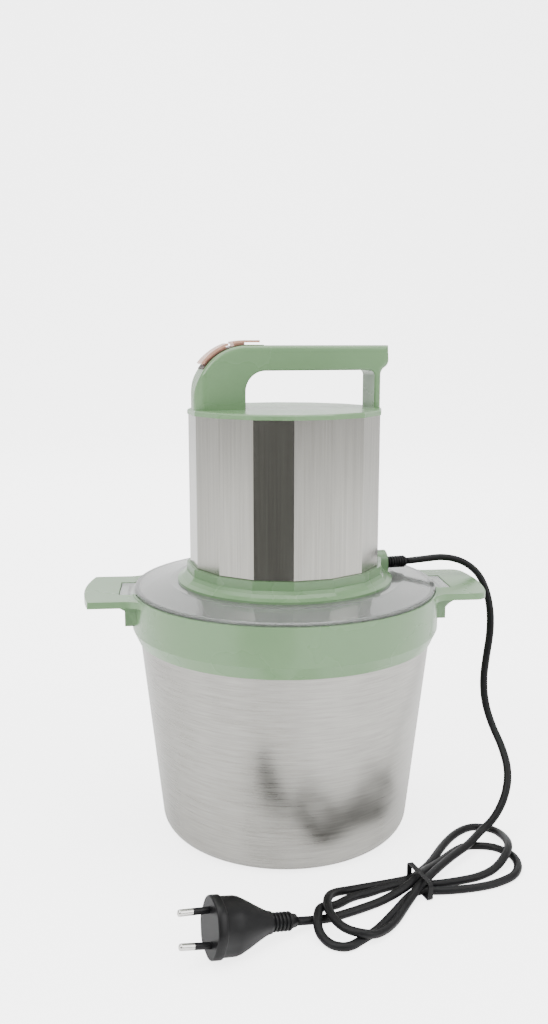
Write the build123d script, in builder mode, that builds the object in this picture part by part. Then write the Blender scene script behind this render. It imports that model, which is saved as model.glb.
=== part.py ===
"""Electric meat grinder: steel bowl with a collar, clear lid, lift-off motor head, blades and a mains lead.

Origin: centre of the bowl's underside. +Z up. +X along the bowl's two handles. Millimetres.
"""
import os
from math import acos, cos, pi, radians, sin, tan

from build123d import *

os.makedirs("parts", exist_ok=True)

# ---- driving dimensions ----
# bowl and collar
bowl_base_radius = 88.4
bowl_slope = 0.1063              # growth of the radius per mm of height
bowl_wall = 1.0
bowl_corner = 11.0
bowl_rim_z = 167.3
collar_radius = 108.7
collar_bottom_z = 140.5
collar_top_z = 175.0
handle_reach = 141.5             # radius of the handles' outer ends
handle_half_width = 36.5
handle_top_z = 174.5
handle_thickness = 4.6
tab_half_width = 17.0            # lid tab that drops into each handle
# lid
lid_radius = 106.7
lid_edge_z = 177.5
lid_seat_z = 180.5
lid_wall = 2.5
cup_top_radius = 72.0
cup_floor_z = 150.0
cup_floor_radius = 60.5
# motor head, turned about the axis against the bowl
head_turn = 10.3
facets = 16
sleeve_radius = 67.2             # to the corners
sleeve_bottom_z = 191.0
sleeve_top_z = 297.5
sleeve_wall = 0.8
flange_radius = 76.2
neck_top_radius = 70.0
neck_floor_radius = 58.0
neck_floor_z = 153.5
shell = 2.6                      # wall of the moulded housings
cap_z = 301.0
# carrying handle on the cap, in the head's own X and Z
grip_left = -65.5
grip_right = 72.5
grip_post = 66.6
grip_top_z = 344.0
grip_bend = 36.0                 # radius of the switch end
grip_half_width = 12.5
grip_edge = 3.2                  # rounding of the handle's long edges
grip_corner = 9.0                # rounding of its switch end, seen from above
hole_left = -31.0
hole_right = 61.6
hole_top_z = 327.0
hole_corner = 14.0
seam_z = 339.4                   # joint under the handle's cover
cover_left = -15.0
# buttons
button_half_width = 7.5
button_proud = 3.4
button_plate = 1.5
slot_gap = 0.3
# gears
module = 1.0
sun_teeth = 12
planet_teeth = 18
ring_teeth = 48
pressure = radians(20)
gear_z = 173.5
gear_width = 10.0
backlash = 0.06
# shafts and bearings
running_gap = 0.04
shaft_radius = 4.0
shaft_end_radius = 3.0
output_radius = 6.0
hex_flats = 10.0
# mains lead
cord_radius = 2.5
gland_z = 186.3
gland_x = 76.3                   # outer face of the gland's boss, along the head's X
gland_end_x = 93.5

planet_orbit = module * (sun_teeth + planet_teeth) / 2


def level(height):
    """Horizontal plane whose X runs along the bowl's handles."""
    return Plane.XY.offset(height)


def head_level(height):
    """Horizontal plane whose X runs along the motor head's handle."""
    turn = radians(head_turn)
    return Plane(origin=(0, 0, height), x_dir=(cos(turn), sin(turn), 0), z_dir=(0, 0, 1))


def head_side(offset=0.0):
    """Upright plane through the head's X, moved sideways by offset."""
    turn = radians(head_turn)
    normal = (sin(turn), -cos(turn), 0)
    place = (normal[0] * offset, normal[1] * offset, 0)
    return Plane(origin=place, x_dir=(cos(turn), sin(turn), 0), z_dir=normal)


def head_end(distance):
    """Upright plane across the head's X at a distance from the axis, facing outwards."""
    turn = radians(head_turn)
    outward = (cos(turn), sin(turn), 0)
    place = (outward[0] * distance, outward[1] * distance, 0)
    return Plane(origin=place, x_dir=(-sin(turn), cos(turn), 0), z_dir=outward)


def head_point(x, y, z):
    """Point given in the motor head's own axes."""
    turn = radians(head_turn)
    return Vector(x * cos(turn) - y * sin(turn), x * sin(turn) + y * cos(turn), z)


def disc(plane, radius, hole=0.0):
    """Round face on a plane, with a hole if one is given."""
    with BuildSketch(plane) as flat:
        Circle(radius)
        if hole:
            Circle(hole, mode=Mode.SUBTRACT)
    return flat.sketch


def facetted(plane, radius, hole=0.0, round_hole=False):
    """Sixteen-sided face on a plane, with a hole of the same or of round shape."""
    with BuildSketch(plane) as flat:
        RegularPolygon(radius, facets, rotation=180 / facets)
        if hole and round_hole:
            Circle(hole, mode=Mode.SUBTRACT)
        elif hole:
            RegularPolygon(hole, facets, rotation=180 / facets, mode=Mode.SUBTRACT)
    return flat.sketch


def block(plane, length, width, x=0.0, y=0.0):
    """Rectangular face on a plane."""
    with BuildSketch(plane) as flat:
        with Locations((x, y)):
            Rectangle(length, width)
    return flat.sketch


def save(piece, name):
    """Label a finished piece and write it."""
    piece.part.label = name
    export_step(piece.part, f"parts/{name}.step")


def bowl_outside(height):
    """Radius of the bowl's outside at a height."""
    return bowl_base_radius + bowl_slope * height


# ---- bowl ----
with BuildPart() as bowl:
    with BuildSketch(Plane.XZ):
        with BuildLine():
            outer = FilletPolyline(
                (0, 0), (bowl_outside(0), 0), (bowl_outside(bowl_rim_z), bowl_rim_z), radius=bowl_corner
            )
            inner = FilletPolyline(
                (0, bowl_wall),
                (bowl_outside(0) - bowl_wall, bowl_wall),
                (bowl_outside(bowl_rim_z) - bowl_wall, bowl_rim_z),
                radius=bowl_corner - bowl_wall,
            )
            Line(outer @ 0, inner @ 0)
            Line(outer @ 1, inner @ 1)
        make_face()
    revolve(axis=Axis.Z)
save(bowl, "bowl")

spindle_radius = 5.0
spindle_top_z = 44.0
with BuildPart() as bowl_spindle:
    extrude(disc(level(bowl_wall), 12.0), amount=2.0)
    extrude(disc(level(bowl_wall), spindle_radius), amount=spindle_top_z - bowl_wall)
    chamfer(bowl_spindle.faces().sort_by(Axis.Z)[-1].edges(), 1.0)
save(bowl_spindle, "bowl_spindle")

lip_inside = collar_radius - 1.5
bowl_fit = 0.12
pocket_half = tab_half_width + 2.5
pocket_x = 113.0
pocket_wall = 1.2
pocket_inside = collar_radius + 0.3
pocket_bottom_z = 152.5
gusset_x = 122.0
gusset_z = 157.0
with BuildPart() as bowl_collar:
    with BuildSketch(Plane.XZ):
        with BuildLine():
            Polyline(
                (bowl_outside(collar_bottom_z) + bowl_fit, collar_bottom_z),
                (bowl_outside(collar_bottom_z) + 1.6, collar_bottom_z),
                (collar_radius, collar_bottom_z + 8.5),
                (collar_radius, collar_top_z),
                (lip_inside, collar_top_z),
                (lip_inside, bowl_rim_z),
                (bowl_outside(bowl_rim_z) + bowl_fit, bowl_rim_z),
                (bowl_outside(collar_bottom_z) + bowl_fit, collar_bottom_z),
            )
        make_face()
    revolve(axis=Axis.Z)
    for side in (0, 180):
        toward = Plane.XY.rotated((0, 0, side))
        # flat grip with its outer end concentric with the bowl
        with BuildSketch(toward.offset(handle_top_z - handle_thickness)) as grip:
            Circle(handle_reach)
            with Locations((handle_reach / 2, 0)):
                Rectangle(handle_reach, 2 * handle_half_width, mode=Mode.INTERSECT)
            ends = grip.vertices().group_by(Axis.X)
            fillet(ends[-1] if side == 0 else ends[0], 9.0)
            Circle(collar_radius - 0.01)
            roots = grip.vertices().filter_by(lambda v: Vector(v.X, v.Y).length < collar_radius + 0.1)
            fillet(roots.filter_by(lambda v: abs(abs(v.Y) - handle_half_width) < 0.1), 14.0)
            Circle(lip_inside + 0.7, mode=Mode.SUBTRACT)
            with Locations((handle_reach / 2, 0)):
                Rectangle(handle_reach, 3 * handle_half_width, mode=Mode.INTERSECT)
        extrude(amount=handle_thickness)
        # hollowed gusset that carries the grip off the collar
        root_x = collar_radius - 8.0
        grip_bottom_z = handle_top_z - handle_thickness
        with BuildSketch(Plane.XZ.rotated((0, 0, side)).offset(-pocket_half * 1.6)):
            with BuildLine():
                Line((root_x, grip_bottom_z), (gusset_x, grip_bottom_z))
                TangentArc((gusset_x, grip_bottom_z), (collar_radius - 2, gusset_z), tangent=(-1, 0))
                Polyline((collar_radius - 2, gusset_z), (root_x, gusset_z), (root_x, grip_bottom_z))
            make_face()
        extrude(amount=2 * pocket_half * 1.6)
        # pocket wall under the lid tab
        with BuildSketch(toward.offset(pocket_bottom_z)):
            with Locations(((collar_radius - 6 + pocket_x) / 2, 0)):
                Rectangle(pocket_x - collar_radius + 6, 2 * pocket_half)
        extrude(amount=handle_top_z - pocket_bottom_z - 1)
        # pocket itself, open on top and into the bowl's lip
        with BuildSketch(toward.offset(pocket_bottom_z + 2)):
            with Locations(((pocket_inside + pocket_x - pocket_wall) / 2, 0)):
                Rectangle(pocket_x - pocket_wall - pocket_inside, 2 * tab_half_width + 1)
        extrude(amount=collar_top_z - pocket_bottom_z, mode=Mode.SUBTRACT)
        with BuildSketch(toward.offset(collar_top_z - 4.4)):
            with Locations(((lip_inside + pocket_x) / 2, 0)):
                Rectangle(pocket_x - lip_inside + 8, 2 * tab_half_width + 1)
        extrude(amount=6, mode=Mode.SUBTRACT)
    # clear the bowl, which the gussets reach
    with BuildSketch(Plane.XZ):
        with BuildLine():
            Polyline(
                (0, collar_bottom_z - 9),
                (bowl_outside(collar_bottom_z - 9) + bowl_fit, collar_bottom_z - 9),
                (bowl_outside(bowl_rim_z) + bowl_fit, bowl_rim_z),
                (lip_inside, bowl_rim_z),
                (lip_inside, collar_top_z + 3),
                (0, collar_top_z + 3),
                (0, collar_bottom_z - 9),
            )
        make_face()
    revolve(axis=Axis.Z, mode=Mode.SUBTRACT)
save(bowl_collar, "bowl_collar")

# ---- lid ----
gasket_z = bowl_rim_z + 0.05
gasket_height = 3.0
gasket_width = 3.6
with BuildPart() as lid:
    with BuildSketch(Plane.XZ):
        with BuildLine():
            Polyline(
                (lid_radius, gasket_z + gasket_height),
                (lid_radius, lid_edge_z - 0.8),
                (lid_radius - 0.8, lid_edge_z),
                (lid_radius - 5, lid_edge_z + 0.4),
                (82, lid_seat_z),
                (cup_top_radius, lid_seat_z),
                (cup_floor_radius + 0.6, cup_floor_z + lid_wall),
                (17.0, cup_floor_z + lid_wall),
                (17.0, cup_floor_z),
                (cup_floor_radius - 1.4, cup_floor_z),
                (cup_top_radius - 1.6, lid_seat_z - lid_wall),
                (82, lid_seat_z - lid_wall),
                (lid_radius - gasket_width, lid_edge_z - lid_wall + 0.4),
                (lid_radius - gasket_width, gasket_z + gasket_height),
                close=True,
            )
        make_face()
    revolve(axis=Axis.Z)
    # tabs that drop into the handles' pockets, each with a catch
    tab_z = collar_top_z - 3.2
    tab_end = pocket_x + 3.3
    catch_x = pocket_x - pocket_wall - 1.4
    for side in (0, 180):
        toward = Plane.XY.rotated((0, 0, side))
        tab_middle = (lid_radius - 2 + tab_end) / 2
        tab = block(toward.offset(tab_z), tab_end - lid_radius + 2, 2 * tab_half_width, x=tab_middle)
        extrude(tab, amount=2.4)
        catch = block(toward.offset(pocket_bottom_z + 5), 1.4, 1.4 * tab_half_width, x=catch_x)
        extrude(catch, amount=tab_z - pocket_bottom_z - 4)
save(lid, "lid")

with BuildPart() as lid_gasket:
    extrude(disc(level(gasket_z), lid_radius, lid_radius - gasket_width), amount=gasket_height)
save(lid_gasket, "lid_gasket")

# ---- blade unit on the bowl's spindle ----
hub_radius = 11.0
shoulder_radius = 16.0
shoulder_z = 6.0
lower_blade_z = 14.0
upper_blade_z = 46.0
blade_thickness = 1.6
hub_top_z = 149.2
socket_depth = 13.5
bush_radius = 7.0
bush_top_z = 42.0
hex_corner = hex_flats / 2 / cos(pi / 6)
hex_gap = 0.08
with BuildPart() as blade_shaft:
    extrude(disc(level(shoulder_z), shoulder_radius), amount=lower_blade_z - shoulder_z)
    extrude(disc(level(shoulder_z), hub_radius), amount=hub_top_z - shoulder_z)
    bush_bore = bush_top_z + 4 - shoulder_z
    extrude(disc(level(shoulder_z - 1), bush_radius), amount=bush_bore, mode=Mode.SUBTRACT)
    with BuildSketch(level(hub_top_z - socket_depth)):
        RegularPolygon(hex_corner + hex_gap / cos(pi / 6), 6)
    extrude(amount=socket_depth, mode=Mode.SUBTRACT)
    # lightening grooves up the stem
    with BuildSketch(level(upper_blade_z + 16)):
        with PolarLocations(hub_radius + 1.2, 6):
            Circle(2.6)
    extrude(amount=hub_top_z - upper_blade_z - 38, mode=Mode.SUBTRACT)
save(blade_shaft, "blade_shaft")

with BuildPart() as blade_bush:
    bush_ring = disc(level(shoulder_z), bush_radius - 0.02, spindle_radius + running_gap)
    extrude(bush_ring, amount=bush_top_z - shoulder_z)
save(blade_bush, "blade_bush")


def swept_blade(height, reach, turn):
    """Two hooked blades either side of an eye, cut from one sheet."""
    with BuildPart() as sheet:
        with BuildSketch(level(height)):
            Circle(15.5)
            for side in (0, 180):
                with BuildLine(Plane.XY.rotated((0, 0, side + turn))):
                    Spline((4, -13), (0.5 * reach, -17), (0.86 * reach, -8), (reach, 10))
                    Line((reach, 10), (0.93 * reach, 13))
                    Spline((0.93 * reach, 13), (0.72 * reach, 3), (0.4 * reach, 3), (4, 13))
                    Line((4, 13), (4, -13))
                make_face()
            Circle(hub_radius + 0.05, mode=Mode.SUBTRACT)
        extrude(amount=blade_thickness)
    return sheet


lower_blade = swept_blade(lower_blade_z, 76.0, 20)
save(lower_blade, "lower_blade")
upper_blade = swept_blade(upper_blade_z, 68.0, 110)
save(upper_blade, "upper_blade")

with BuildPart() as blade_spacer:
    spacer_z = lower_blade_z + blade_thickness
    extrude(disc(level(spacer_z), 14.6, hub_radius + 0.05), amount=upper_blade_z - spacer_z)
save(blade_spacer, "blade_spacer")

with BuildPart() as blade_lock_ring:
    ring_z = upper_blade_z + blade_thickness
    extrude(disc(level(ring_z), 15.5, hub_radius + 0.05), amount=8)
    with BuildSketch(level(ring_z)):
        with PolarLocations(16.6, 8):
            Circle(2.2)
    extrude(amount=8, mode=Mode.SUBTRACT)
save(blade_lock_ring, "blade_lock_ring")

# ---- motor head: base housing ----
rim_radius = 69.0
rim_top_z = 193.2
deck_z = 188.0
boss_radius = 8.0
boss_z = gland_z + 1.5
tie_orbit = 49.0
tie_angles = (45, 135, 225, 315)
# sections of the flange's cove: height, radius, and how far its sides bulge towards a circle
cove = (
    (lid_seat_z + 1.6, flange_radius, 0.999),
    (183.5, 73.4, 0.5),
    (185.4, 71.2, 0.2),
    (187.5, 70.2, 0.02),
)


def bulged(height, radius, share):
    """Sixteen-sided face whose sides bulge towards the circle through its corners."""
    corner = [pi * (2 * n + 1) / facets for n in range(facets)]
    middle_radius = radius * (cos(pi / facets) + share * (1 - cos(pi / facets)))
    with BuildSketch(head_level(height)) as flat:
        with BuildLine():
            for start in corner:
                end = start + 2 * pi / facets
                middle = start + pi / facets
                ThreePointArc(
                    (radius * cos(start), radius * sin(start)),
                    (middle_radius * cos(middle), middle_radius * sin(middle)),
                    (radius * cos(end), radius * sin(end)),
                )
        make_face()
    return flat.sketch


with BuildPart() as base_housing:
    # neck that sits in the lid's cup
    neck_floor = facetted(head_level(neck_floor_z), neck_floor_radius).face()
    neck_top = facetted(head_level(lid_seat_z), neck_top_radius).face()
    loft([neck_floor, neck_top])
    # flared flange and the rim around the sleeve
    extrude(disc(head_level(lid_seat_z), flange_radius), amount=1.6)
    for lower, upper in zip(cove, cove[1:]):
        loft([bulged(*lower).face(), bulged(*upper).face()], ruled=True)
    extrude(facetted(head_level(187.5), rim_radius + 0.6), amount=rim_top_z - 187.5)
    # gland's boss on the handle's side
    with BuildSketch(head_end(0)):
        with Locations((0, boss_z)):
            Circle(boss_radius)
        with Locations((0, lid_seat_z + 0.2)):
            Rectangle(2 * boss_radius, boss_z - lid_seat_z, align=(Align.CENTER, Align.MIN))
            Rectangle(2 * boss_radius, boss_radius, align=(Align.CENTER, Align.MAX), mode=Mode.SUBTRACT)
    extrude(amount=gland_x)
    # hollow: neck, deck and the sleeve's seat
    hollow_bottom = facetted(head_level(neck_floor_z + 3), neck_floor_radius - shell).face()
    hollow_top = facetted(head_level(deck_z - 4), neck_top_radius - shell - 0.6).face()
    loft([hollow_bottom, hollow_top], mode=Mode.SUBTRACT)
    extrude(facetted(head_level(deck_z - 4.01), 38.5 + 24), amount=4.02, mode=Mode.SUBTRACT)
    extrude(facetted(head_level(deck_z), sleeve_radius - 2.2), amount=40, mode=Mode.SUBTRACT)
    extrude(facetted(head_level(sleeve_bottom_z), sleeve_radius + 0.12), amount=40, mode=Mode.SUBTRACT)
    extrude(disc(head_level(neck_floor_z - 1), output_radius + 4.0), amount=6, mode=Mode.SUBTRACT)
    # pillars for the long tie screws
    for angle in tie_angles:
        with BuildSketch(head_level(neck_floor_z + 2)):
            with Locations((tie_orbit * cos(radians(angle)), tie_orbit * sin(radians(angle)))):
                Circle(5)
        extrude(amount=34)
    with BuildSketch(head_level(neck_floor_z - 1)):
        with PolarLocations(tie_orbit, 4, start_angle=45):
            Circle(2.1)
    extrude(amount=60, mode=Mode.SUBTRACT)
    with BuildSketch(head_level(neck_floor_z - 1)):
        with PolarLocations(tie_orbit, 4, start_angle=45):
            Circle(4.0)
    extrude(amount=5, mode=Mode.SUBTRACT)
    # bore for the gland
    with BuildSketch(head_end(0)):
        with Locations((0, gland_z)):
            Circle(3.6)
    extrude(amount=gland_x + 5, mode=Mode.SUBTRACT)
save(base_housing, "base_housing")

with BuildPart() as steel_sleeve:
    sleeve_face = facetted(head_level(sleeve_bottom_z + 0.05), sleeve_radius, sleeve_radius - sleeve_wall)
    extrude(sleeve_face, amount=sleeve_top_z - sleeve_bottom_z - 0.1)
save(steel_sleeve, "steel_sleeve")

# ---- cap with its carrying handle ----
bend_x = grip_left + grip_bend
bend_z = grip_top_z - grip_bend
waist_top_z = 334.0
waist_bottom_z = 323.5
waist_middle = ((grip_right + grip_post) / 2, (waist_top_z + waist_bottom_z) / 2)


def grip_outline():
    """Outer outline of the handle in the head's X and Z."""
    with BuildSketch(head_side()) as outline:
        with BuildLine():
            Line((grip_left, cap_z - 3), (grip_left, bend_z))
            CenterArc((bend_x, bend_z), grip_bend, 90, 90)
            Line((bend_x, grip_top_z), (grip_right - 0.6, grip_top_z))
            Line((grip_right - 0.6, grip_top_z), (grip_right, waist_top_z))
            TangentArc((grip_right, waist_top_z), waist_middle, tangent=(0, -1))
            TangentArc((grip_post, waist_bottom_z), waist_middle, tangent=(0, 1))
            Polyline((grip_post, waist_bottom_z), (grip_post, cap_z - 3), (grip_left, cap_z - 3))
        make_face()
    return outline.sketch


def sideways(edge):
    """Distance of an edge's middle from the handle's upright mid-plane."""
    middle = edge @ 0.5
    turn = radians(head_turn)
    return abs(middle.Y * cos(turn) - middle.X * sin(turn))


def along(edge):
    """Place of an edge's middle along the head's X."""
    middle = edge @ 0.5
    turn = radians(head_turn)
    return middle.X * cos(turn) + middle.Y * sin(turn)


def plan_block(corner, inset):
    """Upright block over the handle's plan, its switch end rounded."""
    with BuildPart() as blank:
        with BuildSketch(head_level(cap_z - 12)) as plan:
            with Locations((grip_left + inset, 0)):
                Rectangle(160, 2 * (grip_half_width - inset), align=(Align.MIN, Align.CENTER))
            fillet(plan.vertices().filter_by(lambda v: v.X < 0), corner)
        extrude(amount=60)
    return blank.part


# solid handle, rounded outside and in its finger hole
with BuildPart() as grip_blank:
    extrude(grip_outline(), amount=grip_half_width, both=True)
    flanks = grip_blank.edges().filter_by(lambda e: abs(sideways(e) - grip_half_width) < 0.01)
    fillet(flanks.filter_by(lambda e: (e @ 0.5).Z > cap_z - 2.9), grip_edge)
    add(plan_block(grip_corner, 0.0), mode=Mode.INTERSECT)
    with BuildSketch(head_side()) as finger_hole:
        with BuildLine():
            Line((hole_left, cap_z), (hole_left, hole_top_z - hole_corner))
            CenterArc((hole_left + hole_corner, hole_top_z - hole_corner), hole_corner, 90, 90)
            Line((hole_left + hole_corner, hole_top_z), (hole_right - 4, hole_top_z))
            CenterArc((hole_right - 4, hole_top_z - 4), 4, 0, 90)
            Line((hole_right, hole_top_z - 4), (hole_right, cap_z))
            Line((hole_right, cap_z), (hole_left, cap_z))
        make_face()
    extrude(amount=grip_half_width + 1, both=True, mode=Mode.SUBTRACT)
    rim_edges = grip_blank.edges().filter_by(lambda e: abs(sideways(e) - grip_half_width) < 0.01)
    rim_edges = rim_edges.filter_by(lambda e: cap_z + 0.5 < (e @ 0.5).Z < hole_top_z + 0.1)
    rim_edges = rim_edges.filter_by(lambda e: hole_left - 0.1 < along(e) < hole_right + 0.1)
    fillet(rim_edges, 1.2)

# slot in the bend that the switch bezel fills
slot_start = 146                 # degrees round the bend, from the head's X
slot_end_x = -17.5
slot_half_width = button_half_width + 1.7


def bend_band(inner, outer, start, end_x):
    """Band that follows the bend from an angle, then the straight top up to end_x."""
    with BuildSketch(head_side()) as band:
        with BuildLine():
            CenterArc((bend_x, bend_z), outer, 90, start - 90)
            Line((bend_x, bend_z + outer), (end_x, bend_z + outer))
            Line((end_x, bend_z + outer), (end_x, bend_z + inner))
            Line((end_x, bend_z + inner), (bend_x, bend_z + inner))
            CenterArc((bend_x, bend_z), inner, 90, start - 90)
            Line(
                (bend_x + inner * cos(radians(start)), bend_z + inner * sin(radians(start))),
                (bend_x + outer * cos(radians(start)), bend_z + outer * sin(radians(start))),
            )
        make_face()
    return band.sketch


low_angle = 125.5                # direction in which the low-speed button stands
low_stem = 18.0
high_stem = 7.4
high_stem_x = -34.0


def low_prism(length, half_width, depth):
    """Block along the low-speed button's travel."""
    lean = radians(low_angle)
    turn = radians(head_turn)
    outward = Vector(cos(lean) * cos(turn), cos(lean) * sin(turn), sin(lean))
    sideway = Vector(sin(turn), -cos(turn), 0)
    centre = head_point(bend_x, 0, bend_z)
    with BuildPart() as prism:
        across = Plane(origin=centre, x_dir=sideway, z_dir=outward)
        extrude(block(across, 2 * half_width, length), amount=depth)
    return prism.part


def high_prism(length, half_width, depth):
    """Block along the high-speed button's travel."""
    with BuildPart() as prism:
        extrude(block(head_level(bend_z), length, 2 * half_width, x=high_stem_x), amount=depth)
    return prism.part


hollow_top_z = cap_z - shell
room_end_x = -16.8
room_right = hole_left - shell
room_corner = hole_corner + shell
with BuildPart() as switch_room:
    with BuildSketch(head_side()):
        with BuildLine():
            Line((grip_left + shell, hollow_top_z - 1), (grip_left + shell, bend_z))
            CenterArc((bend_x, bend_z), grip_bend - shell, 90, 90)
            Polyline(
                (bend_x, grip_top_z - shell),
                (room_end_x, grip_top_z - shell),
                (room_end_x, hole_top_z + shell),
                (room_right + room_corner, hole_top_z + shell),
            )
            CenterArc((room_right + room_corner, hole_top_z - hole_corner), room_corner, 90, 90)
            Polyline(
                (room_right, hole_top_z - hole_corner),
                (room_right, hollow_top_z - 1),
                (grip_left + shell, hollow_top_z - 1),
            )
        make_face()
    extrude(amount=grip_half_width - shell, both=True)
    add(plan_block(grip_corner - shell, shell), mode=Mode.INTERSECT)
with BuildPart() as top_cap:
    extrude(facetted(head_level(sleeve_top_z), sleeve_radius + 0.7), amount=cap_z - sleeve_top_z)
    chamfer(top_cap.faces().sort_by(Axis.Z)[-1].edges(), 0.9)
    skirt_outside = sleeve_radius - sleeve_wall - 0.15
    extrude(facetted(head_level(sleeve_top_z - 5), skirt_outside, skirt_outside - shell), amount=5)
    add(grip_blank.part)
    # open underside
    underside = facetted(head_level(sleeve_top_z - 6), skirt_outside - shell)
    extrude(underside, amount=hollow_top_z - sleeve_top_z + 6, mode=Mode.SUBTRACT)
    add(switch_room.part, mode=Mode.SUBTRACT)
    slot = bend_band(grip_bend - 5, grip_bend + 5, slot_start, slot_end_x)
    extrude(slot, amount=slot_half_width, both=True, mode=Mode.SUBTRACT)
    # seat of the handle's cover
    extrude(block(head_level(seam_z), 120, 60, x=cover_left + 60), amount=20, mode=Mode.SUBTRACT)
    # bosses for the tie screws
    for angle in tie_angles:
        with BuildSketch(head_level(sleeve_top_z - 8)):
            with Locations((tie_orbit * cos(radians(angle)), tie_orbit * sin(radians(angle)))):
                Circle(4.5)
                Circle(1.8, mode=Mode.SUBTRACT)
        extrude(amount=hollow_top_z - sleeve_top_z + 8.3)
save(top_cap, "top_cap")

with BuildPart() as cover_space:
    extrude(block(head_level(seam_z + 0.05), 120, 60, x=cover_left + 60.05), amount=20)
with BuildPart() as handle_cover:
    add(grip_blank.part)
    add(cover_space.part, mode=Mode.INTERSECT)
    extrude(block(head_level(seam_z), 80, 2 * (grip_half_width - 5), x=27), amount=2.2, mode=Mode.SUBTRACT)
save(handle_cover, "handle_cover")

stem_half_width = 6.0
with BuildPart() as switch_bezel:
    band = bend_band(grip_bend - 2.4, grip_bend + 0.4, slot_start - 0.4, slot_end_x - 0.15)
    extrude(band, amount=slot_half_width - 0.15, both=True)
    add(low_prism(low_stem + 2 * slot_gap, stem_half_width + slot_gap, 60), mode=Mode.SUBTRACT)
    add(high_prism(high_stem + 2 * slot_gap, stem_half_width + slot_gap, 60), mode=Mode.SUBTRACT)
save(switch_bezel, "switch_bezel")

plate_top = grip_bend + button_proud
plate_bottom = plate_top - button_plate
stem_bottom = grip_bend - 5
low_start = 142.0
low_end = 108.6
high_start = 103.4
high_end_x = -20.0
with BuildPart() as low_stem_bar:
    extrude(bend_band(stem_bottom, plate_top - 0.5, 165, bend_x + 1), amount=stem_half_width, both=True)
    add(low_prism(low_stem, stem_half_width + 1, 60), mode=Mode.INTERSECT)
with BuildPart() as low_speed_button:
    with BuildSketch(head_side()):
        with BuildLine():
            CenterArc((bend_x, bend_z), plate_top, low_end, low_start - low_end)
            CenterArc((bend_x, bend_z), plate_bottom, low_end, low_start - low_end)
            for end in (low_start, low_end):
                Line(
                    (bend_x + plate_bottom * cos(radians(end)), bend_z + plate_bottom * sin(radians(end))),
                    (bend_x + plate_top * cos(radians(end)), bend_z + plate_top * sin(radians(end))),
                )
        make_face()
    extrude(amount=button_half_width, both=True)
    add(low_stem_bar.part)
save(low_speed_button, "low_speed_button")

with BuildPart() as high_stem_bar:
    extrude(bend_band(stem_bottom, plate_top - 0.5, 150, high_end_x), amount=stem_half_width, both=True)
    add(high_prism(high_stem, stem_half_width + 1, 60), mode=Mode.INTERSECT)
with BuildPart() as high_speed_button:
    extrude(bend_band(plate_bottom, plate_top, high_start, high_end_x), amount=button_half_width, both=True)
    add(high_stem_bar.part)
save(high_speed_button, "high_speed_button")

# ---- switches under the buttons ----
spring_radius = 1.9
spring_wire = 0.45
low_switch_top = 24.0            # distance of the switch's face from the bend's centre
high_switch_top_z = 332.0


def low_plane(distance):
    """Plane across the low-speed button's travel, at a distance from the bend's centre."""
    lean = radians(low_angle)
    turn = radians(head_turn)
    outward = Vector(cos(lean) * cos(turn), cos(lean) * sin(turn), sin(lean))
    sideway = Vector(sin(turn), -cos(turn), 0)
    return Plane(origin=head_point(bend_x, 0, bend_z) + outward * distance, x_dir=sideway, z_dir=outward)


with BuildPart() as low_button_spring:
    spring_face = disc(low_plane(low_switch_top + 0.1), spring_radius, spring_radius - 2 * spring_wire)
    extrude(spring_face, amount=stem_bottom - low_switch_top - 1.0)
save(low_button_spring, "low_button_spring")

with BuildPart() as high_button_spring:
    with BuildSketch(head_level(high_switch_top_z + 0.1)):
        with Locations((high_stem_x, 0)):
            Circle(spring_radius)
            Circle(spring_radius - 2 * spring_wire, mode=Mode.SUBTRACT)
    extrude(amount=bend_z + stem_bottom - high_switch_top_z - 1.0)
save(high_button_spring, "high_button_spring")

with BuildPart() as low_speed_switch:
    extrude(block(low_plane(low_switch_top - 7), 11.0, 7.0, x=-0.4, y=-1.5), amount=7)
save(low_speed_switch, "low_speed_switch")

with BuildPart() as high_speed_switch:
    extrude(block(head_level(high_switch_top_z - 10), 5.6, 11.0, x=high_stem_x - 0.2, y=0.4), amount=10)
save(high_speed_switch, "high_speed_switch")

with BuildPart() as switch_bracket:
    with BuildSketch(head_side(-8.2)):
        with BuildLine():
            Polyline((-59, 304), (-34.4, 304), (-34.4, 329), (-44, 331), (-59, 318), close=True)
        make_face()
        with Locations((-54, 308), (-38, 308)):
            Circle(1.6, mode=Mode.SUBTRACT)
    extrude(amount=1.4)
save(switch_bracket, "switch_bracket")

# ---- gearbox ----
case_radius = 34.0
case_bottom_z = neck_floor_z + 3.1
ring_outside = 29.0
case_top_z = gear_z + gear_width + 2.5
cover_thickness = 1.5
bearing_z = 159.1
output_bearing_radius = 14.0
output_bearing_height = 8.0
screw_orbit = 31.6
with BuildPart() as gearbox_housing:
    case_wall = disc(head_level(case_bottom_z), case_radius, ring_outside + 0.03)
    extrude(case_wall, amount=case_top_z - case_bottom_z)
    extrude(disc(head_level(case_bottom_z), ring_outside + 1, 10.0), amount=2.4)
    extrude(disc(head_level(case_bottom_z), 18.0, 10.0), amount=2.4)
    extrude(disc(head_level(case_bottom_z + 2.4), 18.0, output_bearing_radius + 0.02), amount=8.6)
    with BuildSketch(head_level(case_top_z - 8)):
        with PolarLocations(screw_orbit, 4):
            Circle(1.3)
    extrude(amount=8, mode=Mode.SUBTRACT)
save(gearbox_housing, "gearbox_housing")

with BuildPart() as gearbox_cover:
    extrude(disc(head_level(case_top_z + 0.05), case_radius, 6.0), amount=cover_thickness)
    with BuildSketch(head_level(case_top_z)):
        with PolarLocations(screw_orbit, 4):
            Circle(1.4)
    extrude(amount=3, mode=Mode.SUBTRACT)
save(gearbox_cover, "gearbox_cover")

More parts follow.
